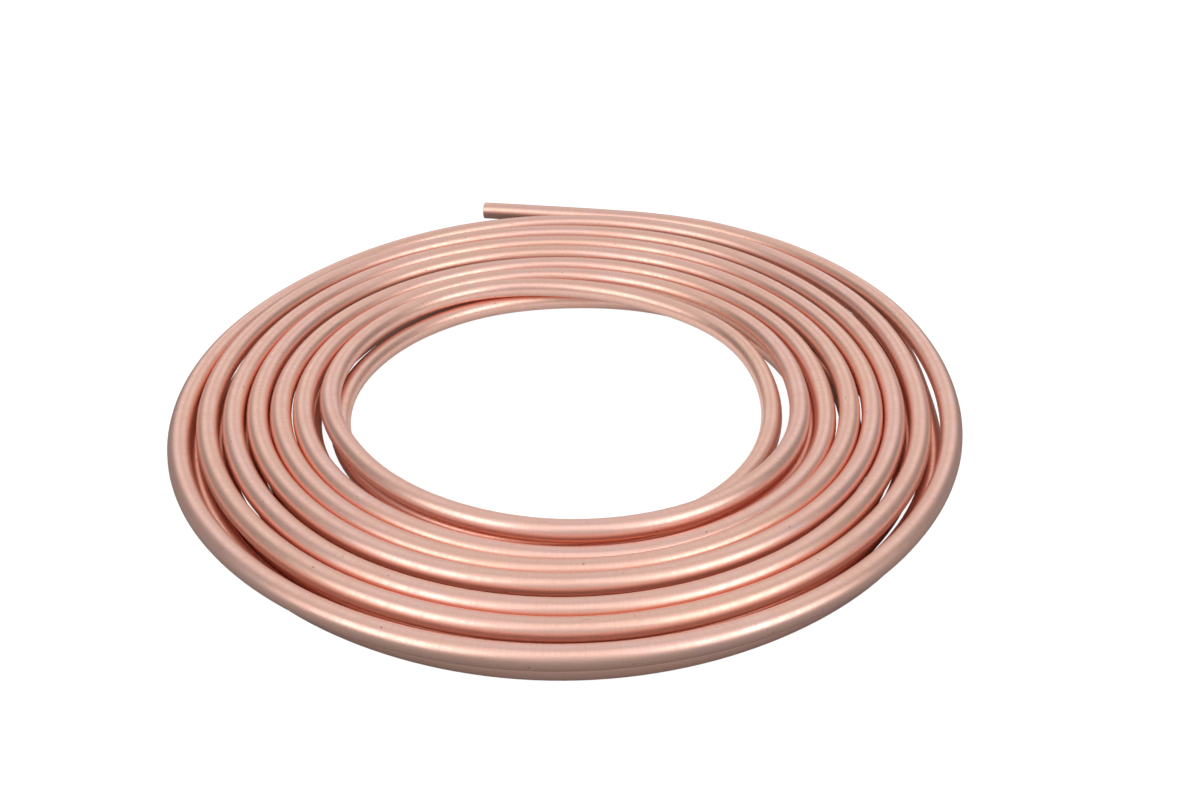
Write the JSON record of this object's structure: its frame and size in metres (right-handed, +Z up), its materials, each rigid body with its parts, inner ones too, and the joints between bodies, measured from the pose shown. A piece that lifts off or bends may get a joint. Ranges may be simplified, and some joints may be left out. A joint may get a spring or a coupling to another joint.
{
  "type": "copper tube coil",
  "caption": "Loose flat coil of soft copper tube in two layers of turns, with one free end lying out at the back.",
  "frame": {"origin": "on the floor, on the coil's own axis", "axes": "+Z up, along the coil's axis; +X right and +Y back; the free end lies at the back and points to -X"},
  "size_m": [0.242, 0.2559, 0.0128],
  "materials": {
    "copper": "satin annealed copper, pink, with a fine grain across the tube"
  },
  "bodies": {
    "root": {"copper_tube": "copper"}
  },
  "joints": []
}
